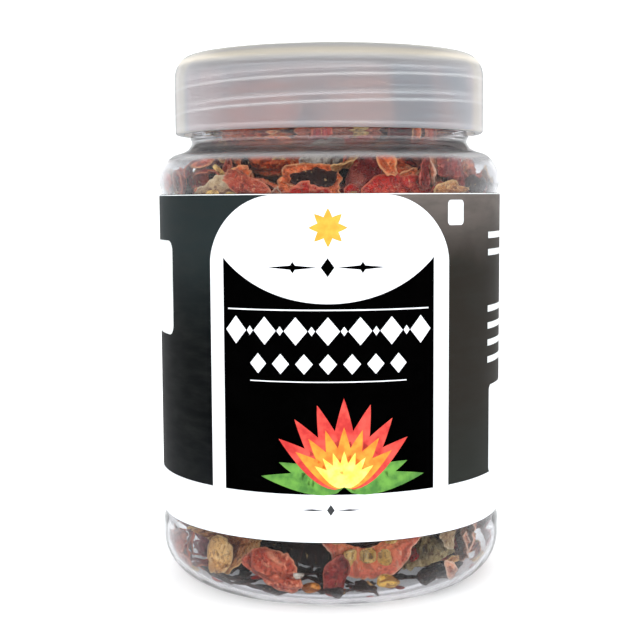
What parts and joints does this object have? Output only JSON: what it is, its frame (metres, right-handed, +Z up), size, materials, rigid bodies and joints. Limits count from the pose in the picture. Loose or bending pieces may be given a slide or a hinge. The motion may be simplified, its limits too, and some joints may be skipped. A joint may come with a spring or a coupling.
{
  "type": "jar of dried ghost peppers",
  "caption": "Clear jar with a translucent screw cap and a printed wrap label, filled with torn, curled pieces of dried ghost pepper and their seeds.",
  "frame": {"origin": "centre of the jar's base, at the height of its contact ring", "axes": "+Z up along the jar's axis, -Y towards the front of the label, +X to the right as seen from the front"},
  "size_m": [0.073, 0.073, 0.1104],
  "materials": {
    "clear": "clear, glossy",
    "frosted": "milky, translucent",
    "foam": "matte",
    "print": "printed, satin",
    "skin": "dried pepper skin, wrinkled, slightly glossy",
    "pith": "dried pith, dull",
    "stem": "dried stem, dull"
  },
  "bodies": {
    "jar_body": {"jar": "clear", "label": "print", "half_pod_front": "skin", "half_pod_01": "skin", "half_pod_02": "skin", "half_pod_03": "skin", "whole_pod_01": "skin", "whole_pod_02": "skin", "whole_pod_03": "skin", "flake_dark": "skin", "flake_deep_red": "skin", "flake_maroon": "skin", "skin_front_folded": "skin", "skin_front_left": "skin", "skin_front_right": "skin", "skin_neck_left": "skin", "skin_neck_middle": "skin", "skin_neck_right": "skin", "skin_side_left": "skin", "skin_side_right": "skin", "skin_top_far_left": "skin", "skin_top_left": "skin", "skin_top_right": "skin", "skin_01": "skin", "skin_02": "skin", "skin_03": "skin", "skin_04": "skin", "skin_05": "skin", "skin_06": "skin", "skin_07": "skin", "skin_08": "skin", "skin_09": "skin", "skin_10": "skin", "skin_11": "skin", "skin_12": "skin", "skin_13": "skin", "skin_14": "skin", "skin_15": "skin", "skin_16": "skin", "skin_17": "skin", "skin_18": "skin", "skin_19": "skin", "skin_20": "skin", "skin_21": "skin", "skin_22": "skin", "skin_23": "skin", "skin_24": "skin", "pith_front_left": "pith", "pith_top_left": "pith", "pith_top_middle": "pith", "pith_01": "pith", "pith_02": "pith", "crumb_orange": "pith", "crumb_yellow": "pith", "stem_end_front": "stem", "stem_end_01": "stem", "stem_end_02": "stem"},
    "liner_body": {"cap_liner": "foam"},
    "cap_body": {"cap": "frosted"}
  },
  "joints": [
    {"name": "cap_lift", "type": "slide", "parent": "jar_body", "child": "liner_body", "axis": [0, 0, 1], "range_m": [0, 0.0065]},
    {"name": "cap_turn", "type": "hinge", "parent": "liner_body", "child": "cap_body", "pos_m": [0, 0, 0.102], "axis": [0, 0, 1], "range_deg": [0, 450]}
  ],
  "couplings": [
    {"joint": "cap_lift", "follows": "cap_turn", "m_per_rad": 0.00079577}
  ]
}
